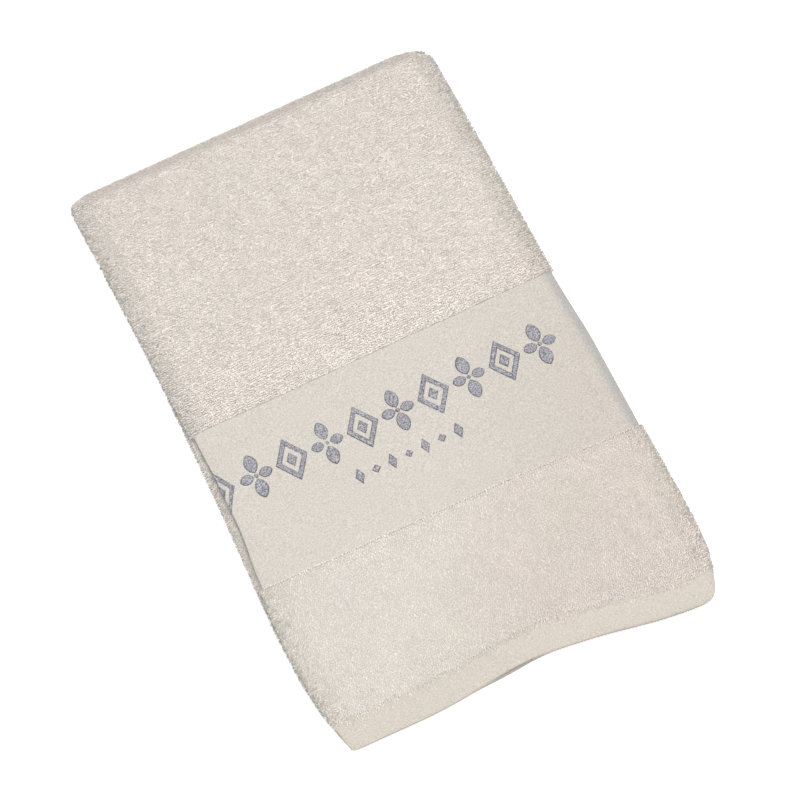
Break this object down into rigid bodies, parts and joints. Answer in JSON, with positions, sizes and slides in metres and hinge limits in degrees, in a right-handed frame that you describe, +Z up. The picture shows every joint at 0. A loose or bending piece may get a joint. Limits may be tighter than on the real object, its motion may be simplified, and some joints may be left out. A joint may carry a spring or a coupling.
{
  "type": "folded hand towel",
  "caption": "Cream terry hand towel folded to a flat block, with a flat-woven border, a woven geometric ornament and sewn hems; it unfolds at the crosswise fold.",
  "frame": {"origin": "centre of the folded towel's footprint, on the surface that it lies on", "axes": "+X across the folded towel, +Y along it from the end hems to the crosswise fold, +Z up through the layers"},
  "size_m": [0.25, 0.4, 0.014],
  "materials": {
    "terry": "looped cotton pile, matt, cream",
    "woven_border": "fine flat weave, slightly smooth, cream",
    "plain_hem": "plain weave, turned and sewn, cream",
    "ornament_thread": "raised grey-blue thread",
    "sewing_thread": "cream sewing thread"
  },
  "bodies": {
    "lower_half": {"lower_terry": "terry", "lower_end_hem": "plain_hem", "lower_left_side_hem": "plain_hem", "lower_right_side_hem": "plain_hem", "lower_end_stitches": "sewing_thread", "lower_side_stitches": "sewing_thread", "crosswise_fold": "terry", "fold_left_side_hem": "plain_hem", "fold_right_side_hem": "plain_hem"},
    "upper_half": {"upper_far_terry": "terry", "border_band": "woven_border", "upper_near_terry": "terry", "upper_end_hem": "plain_hem", "upper_left_side_hem": "plain_hem", "upper_right_side_hem": "plain_hem", "upper_end_stitches": "sewing_thread", "upper_side_stitches": "sewing_thread", "ornament_large": "ornament_thread", "ornament_small": "ornament_thread"}
  },
  "joints": [
    {"name": "unfold", "type": "hinge", "parent": "lower_half", "child": "upper_half", "pos_m": [0, 0.193, 0.007], "axis": [-1, 0, 0], "range_deg": [0, 179], "deforming": ["crosswise_fold", "fold_left_side_hem", "fold_right_side_hem"]}
  ]
}
